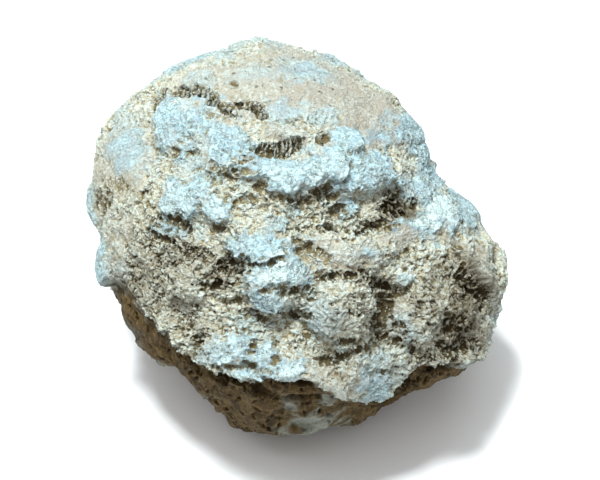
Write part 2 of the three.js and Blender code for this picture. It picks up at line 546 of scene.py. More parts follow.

# %% [markdown]
# Stains have no edge of their own, so they are only masks. The last number is how strong each one's colour
# is. Tan skin is also smoother than the rest, and in a few places the crust is worn even. The brown is dirt
# on crumbly slopes and painted shade on faces turned from the light and in recesses.

# %% Stains and worn places
TAN = [
    ("cap, right", 110, 66, 28, 18, -13, 1.0),
    ("cap, back right", 155, 70, 32, 22, -60, 1.0),
    ("cap, back", -175, 59, 28, 20, -84, 0.8),
    ("cap, left", -140, 66, 24, 18, 0, 0.8),
    ("cap, near the fringe", -135, 76, 30, 20, 0, 0.8),
    ("cap, far left", -124, 55, 18, 12, 60, 0.7),
    ("left flank", -93, 30, 30, 20, 60, 0.65),
    ("left flank, low", -78, 19, 18, 13, 50, 0.5),
    ("cushion", 19, 41, 20, 9, -19, 0.7),
    ("step", 52, 40, 12, 9, -16, 1.0),
    ("nose", 11, 5, 20, 10, -16, 0.6),
    ("lobe side", 70, 14, 12, 16, 20, 0.7),
    ("pink bulge", -30, 82, 11, 6, -13, 1.0),
    ("valley side", 31, 18, 9, 9, 0, 0.9),
]
# Many of these brown spots are painted shade on faces turned from the light and in recesses.
BROWN = [
    ("left slope", -54, 22, 24, 28, 0, 0.55),
    ("left slope, top", -44, 32, 22, 10, 0, 0.6),
    ("left slope, foot", -38, 14, 20, 8, 15, 0.4),
    ("left lip", -62, 12, 24, 9, 0, 0.7),
    ("left rim", -86, 29, 18, 12, 31, 0.15),
    ("left rim, low", -88, 19, 12, 8, 45, 0.35),
    ("face of the lobe", 54, 7, 28, 22, 60, 0.85),
    ("face, low", 40, 3, 22, 10, 0, 0.6),
    ("lobe recess", 62, 10, 12, 7, -70, 0.8),
    ("valley", 30, 17, 18, 9, 88, 0.5),
    ("channel", 34, 25, 14, 6, -37, 0.5),
    ("cave", 61, 44, 13, 8, -34, 0.9),
    ("pits", -29, 32, 9, 9, 0, 0.7),
    ("east knob", 41, 14, 14, 11, 20, 0.55),
    ("grey knob", 17, 25, 16, 16, 0, 0.5),
    ("nose", 10, 6, 18, 9, -16, 0.4),
    ("rim, far left", -31, 13, 12, 10, 0, 0.35),
]
EVEN = [
    ("face of the lobe", 56, 6, 28, 22, 60, 0.75),
    ("lobe top", 78, 30, 22, 15, -24, 0.65),
    ("cushion", 18, 40, 20, 11, -19, 0.4),
]
print(len(TAN), "tan,", len(BROWN), "brown and", len(EVEN), "worn places")

# %% [markdown]
# The far side of the geode gets spots of the same kinds, so that it is as varied as the front. Placed at
# random they would crowd together, so they are set out on a spiral, like the seeds of a sunflower, and
# random in all else.

# %% Spots for the far side
far_random = np.random.default_rng(21)
SPIRAL_STEPS = 150
SPIRAL_TURN = 137.5  # degrees from one spot to the next
SPIRAL_REACH = 1.75  # how far down the spiral goes, where 2 would be to the very bottom
FRONT = np.array([0.0, -0.7, 0.7])  # the middle of the side that the tables above cover
FRONT_EDGE = 0.12  # a way that agrees with FRONT more than this is still the front
steps = np.arange(SPIRAL_STEPS)
spiral_rise = np.degrees(np.arcsin(1 - SPIRAL_REACH * (steps + 0.5) / SPIRAL_STEPS))
spiral_turn = (SPIRAL_TURN * steps + 180) % 360 - 180
for k in steps:
    a, e = np.radians([spiral_turn[k], spiral_rise[k]])
    way = np.array([np.sin(a) * np.cos(e), -np.cos(a) * np.cos(e), np.sin(e)])
    across, upwards, lean, much = far_random.uniform([9, 0.5, -40, 0], [22, 0.9, 40, 1])
    if way @ FRONT > FRONT_EDGE:
        continue
    place = (spiral_turn[k], spiral_rise[k], across, across * upwards, lean)
    kind = k % 5
    if kind in (0, 3) and spiral_rise[k] > -40:
        PLATES.append(("far plate", *place, 0.4 + 1.4 * much, 0.35 + 0.65 * much))
    elif kind == 1:
        HOLES.append(("far hole", *place[:2], across * 0.5, across * upwards * 0.25, lean, 1.2 + 1.6 * much))
    elif kind == 2:
        LUMPS.append(("far lump", *place, 0.8 + 1.6 * much))
    else:
        (BROWN if k % 2 else TAN).append(("far patch", *place, 0.3 + 0.6 * much))
for kind, spots in (("plates", PLATES), ("lumps", LUMPS), ("holes", HOLES), ("tan", TAN), ("brown", BROWN)):
    print(kind, len(spots))

# %% [markdown]
# A mask is a number for each corner, 0 where the stain is absent. The crust's relief and its colours both
# read the masks, so that a plate is blue exactly where it is smooth.


# %% Stains as masks
def stains(spots, soft, wander):
    """The strength of the strongest spot at each corner, which fades from `1 - soft` to `1 + soft`."""
    inside = np.zeros(len(rays))
    for name, turn, rise, across, upwards, lean, *_, strength in spots:
        near, distance, _ = spot(turn, rise, across, upwards, lean, wander)
        inside[near] = np.maximum(inside[near], strength * (1 - step_up(distance, 1 - soft, 1 + soft)))
    return inside


even = stains(EVEN, 0.4, 0.4)
chalk = stains(PLATES, 0.5, 0.7)
tan = stains(TAN, 0.35, 0.5)
brown = stains(BROWN, 0.5, 0.6)
print("share of chalk, tan and brown:", chalk.mean().round(3), tan.mean().round(3), brown.mean().round(3))

# %% [markdown]
# ## The lip
# Along the front the crust breaks off in a lip, and the bare underside draws in below it. On the far side
# the crust ends lower down, without a lip. A saw could cut such an edge, but a line is simpler: one line
# round the stone says where the crust ends, as a rise for each turn, and the skin moves out just above it
# and in below it.

# %% Find each corner's height over the lip
turns = np.degrees(np.arctan2(rays[:, 0], -rays[:, 1]))
rises = np.degrees(np.arcsin(rays[:, 2]))
MM_PER_DEGREE = 0.84  # along the skin, at the body's mean radius
CRUST_END = -34  # degrees: the rise at which the crust ends on the far side

# In degrees, down at the nose and right of it, and up at two places further left.
lip_line = 4.5 - 15 * bell(turns, 21, 10) - 4.5 * step_up(turns, 24, 34) - 0.5 * np.maximum(turns - 38, 0)
lip_line += 5 * bell(turns, -62, 16) + 2.5 * bell(turns, -36, 12)
at_front = step_up(turns, -104, -64) * (1 - step_up(turns, 58, 92))
crust_line = CRUST_END + (lip_line - CRUST_END) * at_front
wavering = (6 - 3.4 * at_front) * rough(body, 14, 3, 5, 0.5)
over_lip = (rises - crust_line) * MM_PER_DEGREE + wavering
over_lip += 0.9 * rough(body, 1.8, 2, 6)
sharp = 0.15 * at_front + 0.85 * step_up(turns, -58, -36) * (1 - step_up(turns, 60, 80))
under = 1 - step_up(over_lip, 3 * sharp - 4.2, 2.6 - 2 * sharp)
lip = sharp * (
    1.3 * bell(over_lip, 1.8, 2.4)
    - 2.6 * (1 - step_up(over_lip, -2.0, 0.4)) * np.exp(np.minimum(over_lip, 0) / 12)
)
print("lip, mm:", lip.min().round(2), lip.max().round(2), "share of underside:", under.mean().round(2))

# %% [markdown]
# ## Growing the crust
# The relief is added in turns, from the widest forms to the finest, and each turn moves the skin the way
# it faces by then. A single Displace modifier would move it one way only. In turns, a crumb on the side
# of a lump stands out sideways, and the skin folds a little under the plates, as it does on the real
# crust. `lift` is how far each corner moves out, `slide` is how far it moves downhill, and the third mask
# says how much dirt and painted shade darken the holes.

# %% Swells and plates
grainy = np.clip(1 - 0.75 * chalk - 0.8 * tan, 0, 1)
lift = lip + 1.1 * rough(body, 11, 3, 21) * (1 - 0.5 * tan)
lift += under * 3.2 * (billows(shaken(body, 9, 2.5, 81), 13, 2, 23, 0.4) - 0.35)
lift += 1.7 * grainy * (1 - under) * (billows(shaken(body, 8, 2.5, 85), 9, 2, 25) - 0.4)
slide, dirt_and_shade = np.zeros_like(body), np.zeros(len(body))
for name, turn, rise, across, upwards, lean, proud, tint in PLATES:
    near, d, down = spot(turn, rise, across, upwards, lean)
    on = 1 - step_up(d, 0.65, 1.2)
    lift[near] += proud * on * (0.35 + 0.65 * step_up(down, -1.1, 0.7))
    lift[near] -= 0.4 * proud * bell(d, 1.25, 0.2) * step_up(down, 0.1, 1.0)
    way = downhill(body[near], outwards[near])
    slide[near] += (0.35 * proud * on * step_up(down, 0.0, 1.0))[:, None] * way
print("after the plates, mm:", lift.min().round(2), lift.max().round(2))

# %% [markdown]
# A lump swells by the curve (1 - distance squared) to the power 3/4, so its foot is steeper than a bell's.
# A hole's wall is broken by noise, because crumbs fall out one at a time.

# %% Lumps and holes
for name, turn, rise, across, upwards, lean, proud in LUMPS:
    near, d, _ = spot(turn, rise, across, upwards, lean, 0.25)
    lift[near] += proud * np.clip(1 - (d / 1.2) ** 2, 0, 1) ** 0.75
for name, turn, rise, across, upwards, lean, depth in HOLES:
    near, d, _ = spot(turn, rise, across, upwards, lean, 0.7)
    broken = 0.45 + 0.65 * step_up(rough(body[near], 1.5, 2, 33), -0.4, 0.4)
    lift[near] -= depth * (1 - step_up(d, 0.3, 1.35)) * broken
    # The holes are painted darker towards the middle: dirt and painted shade.
    dirt_and_shade[near] = np.maximum(dirt_and_shade[near], (1 - step_up(d, 0.5, 1.4)) * broken)
print("after the holes, mm:", lift.min().round(2), lift.max().round(2))

# %% [markdown]
# The teeth of a fringe are numbered along its row, and each number draws its tooth's place, width and
# length. Between the teeth the skin goes in. Brown dirt covers all of the fringe, and the gaps between the
# teeth are painted darker still, as painted shade.

# %% Fringes of teeth
for name, turn, rise, across, upwards, lean, depth, apart in FRINGES:
    near, d, down = spot(turn, rise, across, upwards, lean, 0.4)
    in_row = body[near, 0] / apart + 0.3 * noise(body[near], 2.0, 15)
    tooth = np.floor(in_row)
    shift, width, length, _ = drawn(np.stack([tooth, 0 * tooth, 0 * tooth], axis=-1).astype(int)).T
    beside = np.abs(in_row - tooth - 0.35 - 0.3 * shift)
    teeth = 1 - step_up(beside, 0.1 + 0.12 * width, 0.34)
    teeth *= 1 - step_up(down - 0.7 * length, -0.1, 0.25)
    gaps = 1 - teeth
    lift[near] -= depth * (1 - step_up(d, 0.7, 1.25)) * (0.15 + 0.85 * gaps)
    # The fringe is painted darker, most in the gaps between the teeth: dirt and painted shade.
    dirt_and_shade[near] = np.maximum(dirt_and_shade[near], (0.7 + 0.3 * gaps) * (1 - step_up(d, 0.6, 1.2)))
    brown[near] = np.maximum(brown[near], 0.2 * (1 - step_up(d, 0.7, 1.3)))
skin = body + outwards * lift[:, None] + slide
chalk, tan = chalk * (1 - 0.7 * dirt_and_shade), tan * (1 - 0.7 * dirt_and_shade)
print("skin box, mm:", skin.min(axis=0).round(1), skin.max(axis=0).round(1))

# %% [markdown]
# The CAD body says how big the geode is, so the crust must not make it bigger. The skin starts a little
# inside the body, and what still stands far out of its box is pressed back.

# %% Keep to the CAD body's size
SET_BACK = 0.5  # mm: the skin starts a little inside the CAD body
SPARE = 0.8  # mm: what stands farther out of the CAD box than this is pressed back to a quarter
low_corner, high_corner = np.array(cad_box) / MM + np.array([[-SPARE], [SPARE]])


def held_in(points):
    """The places, with what lies outside the CAD box pressed back, and nothing under the table."""
    within = np.clip(points, low_corner, high_corner)
    held = within + (points - within) / 4
    held[..., 2] = np.maximum(held[..., 2], 0)
    return held


print("the skin may reach, mm:", low_corner.round(1), high_corner.round(1))

# %% [markdown]
# The crust is laid down in level ledges, so its noise is squeezed upright, and a saw-toothed wave adds the
# ledges themselves: each swells towards its lower edge and then drops back. The lower edges also slide a
# little downhill, which undercuts them, and a dark gap opens beneath.

# %% Tools for ledges and cobbles
LEDGES = np.array([0.9, 0.95, 1.3])  # squeezes the noise upright, so that it draws level ledges
BULGES = np.array([1.1, 0.8, 0.7])  # stretches it upright on the underside, where there are no ledges


def squeezed(points):
    """The places about the centre of growth, squeezed for ledges, and on the underside stretched."""
    return (points - CENTRE) * (LEDGES + (BULGES - LEDGES) * under[:, None])


def ledges(points, size, bend, seed):
    """Saw-toothed ledges `size` mm apart, each 1 at its lower edge and falling to 0 at the one above. The
    wave is 1 minus the height over `size` without its whole part, and `bend` times noise makes it wavy."""
    aside = lengths(points[:, :2] - CENTRE[:2])
    f = (points[:, 2] - LEAN_OUT * aside) / size + bend * rough(points, 2.2 * size, 2, seed)
    return 1 - (f - np.floor(f))


def cobbles(points, size, seed):
    """Cobbles about `size` mm wide, each of its own height, and a mask of the cracks between them."""
    first, second, own = scattered(points, size, seed)
    apart = second - first
    return np.stack([step_up(apart, 0.0, 0.3) * (0.3 + own) - 0.6, 1 - step_up(apart, 0.04, 0.22)])


bent = squeezed(shaken(skin, 4.0, 1.6, 31))
print("bent by up to", lengths(bent - squeezed(skin)).max().round(1), "mm")

# %% [markdown]
# The crust isn't equally crumbly everywhere. These masks say where: `patchy` and `lively` come and go in
# patches, `crumbly` keeps crumbs off the plates, the tan skin and the underside, and `calm` keeps the tan
# skin smooth.

# %% Where the crust is crumbly
patchy = step_up(rough(skin, 9.0, 2, 45), -0.3, 0.4)
lively = np.clip(0.2 + step_up(rough(skin, 7.0, 3, 47), -0.4, 0.5) + 0.15 * brown, 0, 1.2)
lively *= 1 - even
crumbly = np.maximum(grainy, 0.8 * dirt_and_shade) * (1 - under)
calm = 1 - 0.8 * tan
print("share that is crumbly:", (crumbly * lively).mean().round(2))

# %% [markdown]
# Now the forms a few millimetres wide: cobbles of two sizes with cracks between them, wrinkles, folds in
# the plates, pits, hollows and ledges. Each is worked out over the whole skin, and the masks say how much
# of it stays.

# %% Cobbles, wrinkles, pits and ledges
wrinkles = billows(bent, 5.2, 4, 61, 0.55)
coarse = step_up(noise(skin, 5.0, 49), -0.25, 0.25)
cobble, cracked = cobbles(bent, 1.5, 7) * (1 - coarse) + cobbles(bent, 2.7, 9) * coarse
cracked *= crumbly * lively * step_up(noise(bent, 1.6, 11), -0.4, 0.1)
folds = chalk * (1 - step_up(np.abs(rough(bent, 4.2, 3, 91)), 0.02, 0.1))
folds *= step_up(noise(skin, 3.0, 93), -0.3, 0.2)
first, _, deep = scattered(bent + 50, 2.3, 17)
pits = (1 - step_up(first, 0.15, 0.4)) * (0.2 + deep)
hollows = step_up(rough(bent, 3.0, 2, 41), 0.1, 0.6)
shelf = ledges(skin, 2.9, 1.3, 71)
relief = crumbly * lively * (0.5 * cobble - 0.8 * pits - 0.85 * hollows * (0.2 + 0.8 * patchy))
relief += (0.22 + 0.24 * crumbly * lively) * (1 - 0.5 * under) * (wrinkles - 0.45)
relief += calm * (1 - under) * (0.13 + 0.37 * crumbly * lively) * (shelf - 0.5)
relief -= under * 1.3 * (1 - step_up(scattered(bent, 2.6, 19)[0], 0.16, 0.34))
relief -= 0.35 * folds
print("relief, mm:", np.percentile(relief, [1, 25, 50, 75, 99]).round(2))

# %% [markdown]
# The skin moves out by the relief, and the ledges also slip downhill a little, which undercuts them.

# %% Move the skin
out = facing(skin)
slip = calm * (1 - under) * (1 - 0.5 * chalk) * 0.32 * shelf**2 * step_up(noise(skin, 3.0, 77), -0.2, 0.4)
skin = skin + out * (relief - SET_BACK)[:, None] + downhill(skin, out) * slip[:, None]
print("slip, mm, mean and most:", slip.mean().round(2), slip.max().round(2))

# %% [markdown]
# The finest turn is the crumbs themselves, a millimetre wide and less, with small holes between them. Bump
# in the material could fake them, but not at the outline of the stone, and a shape made here is a shape
# from every side.

# %% Crumbs and grains
bent = squeezed(shaken(shaken(skin, 2.0, 0.5, 35), 0.7, 0.25, 39))
first, second, crumb = scattered(bent, 0.95, 27)
crumbs_on = step_up(second - first, 0.0, 0.35) * (0.4 + crumb)
holes = (1 - step_up(scattered(bent + 30, 1.5, 37)[0], 0.15, 0.32)) * lively
grains = noise(bent, 0.8, 51) + 0.7 * noise(bent, 0.45, 57)
small_shelf = ledges(skin, 1.25, 1.1, 79)
relief = (0.1 + 0.22 * crumbly) * (crumbs_on - 0.5) - 0.5 * crumbly * holes
relief += (0.06 + 0.12 * crumbly) * grains
relief += calm * (1 - 0.8 * under) * (1 - 0.5 * chalk) * 0.2 * (small_shelf - 0.5)
skin = held_in(skin + facing(skin) * relief[:, None])
print("skin box, mm:", skin.min(axis=0).round(1), skin.max(axis=0).round(1))

# %% [markdown]
# Dirt and shade gather where the crust lies lower than what is round it. Blender's ambient occlusion could
# find such places, but the export would lose it. So each corner is compared with the evened-out skin, close
# by and farther off, and the result is stored as the mask `cavity`: 0 on a peak, about 0.4 on a plain, and
# 1 deep in a hole.

# %% How sunk each corner is
deep_near = sunk(skin, 5)
deep_mid = sunk(skin, 40)
cavity = 0.4 + 1.3 * deep_near + 0.6 * deep_mid - 0.06 * lift + 0.35 * dirt_and_shade * (1 - under)
cavity += 0.6 * cracked * (1 + 0.4 * brown) + 0.35 * folds
flattened = 0.5 + 0.5 * np.tanh((cavity - 0.5) / 0.8)
cavity = np.clip(np.where(cavity > 0.5, flattened, cavity), 0, 1)
print("cavity:", np.percentile(cavity, [5, 25, 50, 75, 95]).round(2))

# %% [markdown]
# ## Six wedges of stone
# The real geode is one piece, and a million faces are too many for one mesh. So each side of the grid
# becomes a wedge: its square of crust, and walls that run in to the centre of growth. The walls of
# neighbours coincide, so together the wedges are the whole solid. First comes the tool that puts arrays
# into a mesh in one go.


# %% Put points and faces into a mesh
MAP = "OFBake"


def put_mesh(name, points, face_groups, fields, maps, normals=None):
    """A new mesh piece from places in mm, arrays of faces, a float attribute for each named field, and the
    place of every face corner on the map. The first group of faces is smooth, and the others are flat.
    Normals can be given, so that neighbouring pieces are shaded alike where they meet."""
    mesh = bpy.data.meshes.new(name)
    corner_numbers = np.concatenate([faces.ravel() for faces in face_groups])
    map_places = np.concatenate([places.reshape(-1, 2) for places in maps])
    sides = np.concatenate([np.full(len(faces), faces.shape[1]) for faces in face_groups])
    mesh.vertices.add(len(points))
    mesh.vertices.foreach_set("co", (points * MM).astype(np.float32).ravel())
    mesh.loops.add(int(sides.sum()))
    mesh.loops.foreach_set("vertex_index", corner_numbers.astype(np.int32))
    mesh.polygons.add(len(sides))
    mesh.polygons.foreach_set("loop_start", (np.cumsum(sides) - sides).astype(np.int32))
    mesh.polygons.foreach_set("use_smooth", np.arange(len(sides)) < len(face_groups[0]))
    for field, values in fields.items():
        attribute = mesh.attributes.new(field, "FLOAT", "POINT")
        attribute.data.foreach_set("value", values.astype(np.float32))
    mesh.uv_layers.new(name=MAP).uv.foreach_set("vector", map_places.astype(np.float32).ravel())
    mesh.update()
    mesh.validate()
    if normals is not None:
        mesh.normals_split_custom_set_from_vertices(normals)
    piece = bpy.data.objects.new(name, mesh)
    bpy.context.scene.collection.objects.link(piece)
    return piece


print("the map is called", MAP)

# %% [markdown]
# Each wedge also gets a map of its own: its square of crust fills
# nearly all of the map, evenly, and its walls share a strip at the left. The normals come from the whole
# skin, so that no seam shows where two wedges meet.

# %% Cut the wedges
STRIP = 0.05  # the share of the map that holds the walls
side = SPLITS + 1
own_grid = np.arange(side * side).reshape(side, side)
own_squares = squares(own_grid).reshape(-1, 4)
rim = np.concatenate([own_grid[:-1, 0], own_grid[-1, :-1], own_grid[:0:-1, -1], own_grid[0, :0:-1]])
next_on_rim = np.roll(rim, -1)
walls = np.stack([next_on_rim, rim, np.full(len(rim), side * side)], axis=-1)
u, v = np.meshgrid(np.linspace(STRIP, 1, side), np.linspace(0, 1, side), indexing="ij")
on_map = np.stack([u, v], axis=-1).reshape(-1, 2)[own_squares]
low, high = np.arange(len(rim)) / len(rim), (np.arange(len(rim)) + 1) / len(rim)
left, right = np.zeros(len(rim)), np.full(len(rim), 0.8 * STRIP)
wall_corners = [(right, high), (right, low), (left, low)]
wall_map = np.stack([np.stack(corner, axis=-1) for corner in wall_corners], axis=1)
fields = {"chalk": chalk, "tan": tan, "brown": brown, "under": under, "cavity": cavity, "tone": crumb}
pieces = []
out = facing(skin)
for name, numbers_of_side in zip(SIDES, grid):
    mine = numbers_of_side.ravel()
    points = np.concatenate([skin[mine], CENTRE[None]])
    mine_fields = {field: np.append(values[mine], 0.5) for field, values in fields.items()}
    faced = np.concatenate([out[mine], [[0, 0, 1]]])
    wedge = put_mesh("crust_" + name, points, [own_squares, walls], mine_fields, [on_map, wall_map], faced)
    pieces.append(wedge)
print("wedges:", [(p.name, len(p.data.polygons)) for p in pieces])

# %% [markdown]
# ## Loose crumbs
# A few thousand crumbs sit loose among the others. Blender could scatter them as instances, but an export
# drops those. So they are worked out together as arrays and joined into one mesh. First come their places:
# crumbs lie where the crust is crumbly, most of all at the front, and never two in one spot.

# %% Scatter places on the skin
crumb_random = np.random.default_rng(7)
corners_of = skin[quads]
face_area = 0.5 * lengths(np.cross(corners_of[:, 2] - corners_of[:, 0], corners_of[:, 3] - corners_of[:, 1]))


def on_faces(values, face, u, v):
    """Values at places (u, v) inside four-cornered faces, blended from their corners."""
    a, b, c, d = (values[quads[face, k]] for k in range(4))
    if values.ndim == 2:
        u, v = u[:, None], v[:, None]
    return (a * (1 - u) + b * u) * (1 - v) + (d * (1 - u) + c * u) * v


def scatter(count, wanted, apart):
    """Places for crumbs: faces drawn by area times how many crumbs are wanted there, and a spot inside each.
    Of those that share a cell `apart` mm wide, only the first stays."""
    weight = face_area * wanted[quads].mean(axis=1)
    tries = 2 * count
    face = crumb_random.choice(len(quads), tries, p=weight / weight.sum())
    u, v = crumb_random.random(tries), crumb_random.random(tries)
    cells = np.floor(on_faces(skin, face, u, v) / apart).astype(np.int64)
    _, kept = np.unique(cells @ [1, 1024, 1048576], return_index=True)
    kept = np.sort(kept)[:count]
    return face[kept], u[kept], v[kept]


print("area of the skin, square cm:", (face_area.sum() / 100).round(1))

# %% [markdown]
# Each crumb is a chip of eight faces, two pyramids base to base, stretched and turned at random and set
# part way into the skin. That is few enough faces for thousands of them, and the flat faces catch the light
# as broken stone does.

# %% Crumb shapes
CHIP = np.concatenate([np.eye(3), -np.eye(3)])
UPPER_FACES = [(0, 1, 2), (1, 3, 2), (3, 4, 2), (4, 0, 2)]
LOWER_FACES = [(1, 0, 5), (3, 1, 5), (4, 3, 5), (0, 4, 5)]
CHIP_FACES = np.array(UPPER_FACES + LOWER_FACES)
UP = np.array([0.0, 0.0, 1.0])


def at_right_angles(along, roughly):
    """Three axes at right angles: the first is `along`, the second lies nearest to `roughly`."""
    one = along / lengths(along)[:, None]
    three = np.cross(one, roughly)
    three /= lengths(three)[:, None]
    return np.stack([one, np.cross(three, one), three], axis=1)


def chip_map(count):
    """Each chip's cell on the map. The cells fill a square, and each holds its chip's faces, four by two."""
    across = int(np.ceil(np.sqrt(count)))
    chip, face = np.arange(count)[:, None, None], np.arange(8)[None, :, None]
    corner_u, corner_v = np.array([0.1, 0.9, 0.1]), np.array([0.1, 0.1, 0.9])
    u = (chip % across + (face % 4 + corner_u) / 4) / across
    v = (chip // across + (face // 4 + corner_v) / 2) / across
    return np.stack([u, v], axis=-1)


def crumbs(name, count, size, wanted, apart, ledge=0.5):
    """One mesh of many chips with shaken corners. Each one's thin way lies between the skin's own direction
    and straight up, nearer to up as `ledge` goes to 1, and is tipped at random. Its peaks get a painted
    highlight and its base a painted shade, through its cavity mask."""
    face, u, v = scatter(count, wanted, apart)
    count = len(face)
    place, normal = on_faces(skin, face, u, v), on_faces(out, face, u, v)
    radius = size[0] * (size[1] / size[0]) ** crumb_random.random(count) ** 1.3
    thin = normal * (1 - ledge) + UP * ledge + 0.4 * crumb_random.normal(size=(count, 3))
    axes = at_right_angles(thin, crumb_random.normal(size=(count, 3)))[:, [1, 2, 0]]
    stretch = crumb_random.uniform([1.0, 0.7, 0.4], [1.4, 1.0, 0.7], (count, 3))
    shake = crumb_random.uniform(0.7, 1.25, (count, 6, 1))
    local = np.einsum("nki,nij->nkj", CHIP * shake * (radius[:, None] * stretch)[:, None], axes)
    middle = place + normal * (radius * crumb_random.uniform(-0.3, 0.2, count))[:, None]
    points = held_in(middle[:, None] + local)
    faces = CHIP_FACES[None] + 6 * np.arange(count)[:, None, None]
    proud = (local * (0.7 * normal + 0.3 * UP)[:, None]).sum(axis=-1) / radius[:, None]
    # Painted highlight on each chip's peak and painted shade at its base, stored as its cavity mask.
    shade = on_faces(cavity, face, u, v)[:, None] * 0.5 + 0.25 - 0.45 * proud
    chip_fields = {"cavity": np.clip(shade, 0, 1).ravel(), "tone": np.repeat(crumb_random.random(count), 6)}
    for field in ("chalk", "tan", "brown", "under"):
        chip_fields[field] = np.repeat(on_faces(fields[field], face, u, v), 6)
    no_smooth = np.empty((0, 3), np.int64)
    faces = faces.reshape(-1, 3)
    return put_mesh(name, points.reshape(-1, 3), [no_smooth, faces], chip_fields, [chip_map(count)])


LOOSE = 6000
CRUMB_RADII = (0.3, 0.7)  # mm
APART = 0.8  # mm
more_in_front = 0.45 + 0.55 * step_up(rays @ FRONT, -0.3, 0.3)
wanted = more_in_front * (0.04 + crumbly**2) * (0.2 + patchy)
pieces.append(crumbs("loose_crumbs", LOOSE, CRUMB_RADII, wanted, APART))
print("crumb faces:", len(pieces[-1].data.polygons))

# %% [markdown]
# ## Finishes
# One finish covers the skin and the crumbs: dull stone whose colour follows the masks. It could be painted
# on a map, but nodes stay sharp at any size and can be changed by a number. The mixing is a node group with
# named inputs, so that another finish can use it with values of its own. First come two helpers, for any
# node and for the group.


# %% Node helpers
def fill(tree, socket, source):
    """Link the socket to the source, or set its value if the source is a number, a colour or a place."""
    if isinstance(source, bpy.types.NodeSocket):
        tree.links.new(source, socket)
    else:
        socket.default_value = (*source, 1) if socket.type == "RGBA" else source


def node(tree, kind, links=(), **settings):
    """A node with its settings made and its sockets filled or linked."""
    made = tree.nodes.new(kind)
    for key, value in settings.items():
        setattr(made, key, value)
    for name, source in dict(links).items():
        fill(tree, made.inputs[name], source)
    return made


group = bpy.data.node_groups.new("crust colour", "ShaderNodeTree")
for name in ("Chalk", "Tan", "Brown", "Under", "Cavity", "Tone"):
    group.interface.new_socket(name, in_out="INPUT", socket_type="NodeSocketFloat")
group.interface.new_socket("Place", in_out="INPUT", socket_type="NodeSocketVector")
for name, kind in (("Color", "Color"), ("Roughness", "Float"), ("Height", "Float")):
    group.interface.new_socket(name, in_out="OUTPUT", socket_type="NodeSocket" + kind)
given = group.nodes.new("NodeGroupInput").outputs
print("inputs of the group:", [socket.name for socket in given if socket.name])

# %% [markdown]
# Inside the group everything is made of four things: sums on numbers, smooth ramps, mixes of two colours,
# and noise.


# %% Sums, ramps, mixes and noise
def reckon(operation, *values, clamp=False):
    """One sum on numbers or sockets."""
    return node(group, "ShaderNodeMath", enumerate(values), operation=operation, use_clamp=clamp).outputs[0]


def ramp(value, low, high):
    """0 at low, 1 at high, smooth between."""
    links = {0: value, 1: low, 2: high}
    return node(group, "ShaderNodeMapRange", links, interpolation_type="SMOOTHSTEP").outputs[0]


def mix(factor, a, b, blend="MIX"):
    """The colour a, going to b as the factor goes to 1."""
    links = {0: factor, 6: a, 7: b}
    return node(group, "ShaderNodeMix", links, data_type="RGBA", blend_type=blend).outputs[2]


def speckle(place, per_mm, detail, rough):
    """Noise with this many lumps per mm, 0 to 1."""
    links = {"Vector": place, "Scale": per_mm * 1000, "Detail": detail, "Roughness": rough}
    return node(group, "ShaderNodeTexNoise", links).outputs[0]


def moved(operation, *vectors):
    """One sum on places."""
    return node(group, "ShaderNodeVectorMath", enumerate(vectors), operation=operation).outputs[0]


plus, minus, times = (partial(reckon, name) for name in ("ADD", "SUBTRACT", "MULTIPLY"))
times_plus = partial(reckon, "MULTIPLY_ADD")
print("nodes so far:", len(group.nodes))

# %% [markdown]
# The patterns are drawn in space, so they need no map and have no seams. Most are squeezed upright as the
# ledges are, and stretched on the underside. From coarse to fine: patches some 5 mm wide, bends, fold
# waves, lumps, grain, beads and fine grain. Thin cracks run where a wave crosses its middle value, and dark
# specks sit in a few cells.

# %% Patterns
place = given["Place"]
squeeze = mix(given["Under"], tuple(LEDGES), tuple(BULGES))
level = moved("MULTIPLY", moved("SUBTRACT", place, tuple(CENTRE * MM)), squeeze)
patch = speckle(place, 0.22, 5, 0.65)
bends = speckle(level, 0.3, 4, 0.6)
fold_waves = speckle(level, 0.5, 4, 0.7)
lumps = speckle(level, 0.7, 4, 0.62)
grain = speckle(level, 1.9, 3, 0.65)
fine = speckle(level, 3.0, 2, 0.7)
stir = node(group, "ShaderNodeTexNoise", {"Vector": level, "Scale": 900.0}).outputs["Color"]
stirred = moved("MULTIPLY_ADD", stir, (0.0006,) * 3, level)
beads = node(group, "ShaderNodeTexVoronoi", {"Vector": stirred, "Scale": 1250.0}).outputs["Distance"]
crack = times(ramp(reckon("ABSOLUTE", minus(bends, 0.5)), 0.03, 0.0), ramp(patch, 0.42, 0.55))
cells = node(group, "ShaderNodeTexVoronoi", {"Vector": place, "Scale": 320.0, "Randomness": 1.0}).outputs
few = ramp(node(group, "ShaderNodeSeparateColor", {0: cells["Color"]}).outputs[0], 0.55, 0.57)
speck = times(ramp(cells["Distance"], 0.2, 0.1), few)
print("pattern nodes:", len(group.nodes))

# %% [markdown]
# The cream crumbs, the tan skin, the blue plates and the brown soil are each a mix of two or three colours
# of their own, by tone or by patch, so that none is flat. The brown is soil and painted shade together, and
# it turns darkest where its mask is strongest, on faces turned from the light and in recesses. The masks then
# lay one over the other, weaker and stronger in patches. Colours are shares of red, green and blue light.

# %% Cream, tan, blue and brown
WARM_CREAM, CREAM, COOL_CREAM = (0.46, 0.40, 0.255), (0.54, 0.54, 0.44), (0.55, 0.63, 0.59)
TAN_SKIN, GREY_SKIN, DUSTY_SKIN = (0.33, 0.30, 0.245), (0.43, 0.44, 0.39), (0.24, 0.21, 0.155)
DEEP_BLUE, PALE_BLUE, WHITE_BLUE = (0.24, 0.42, 0.55), (0.42, 0.60, 0.64), (0.62, 0.80, 0.82)
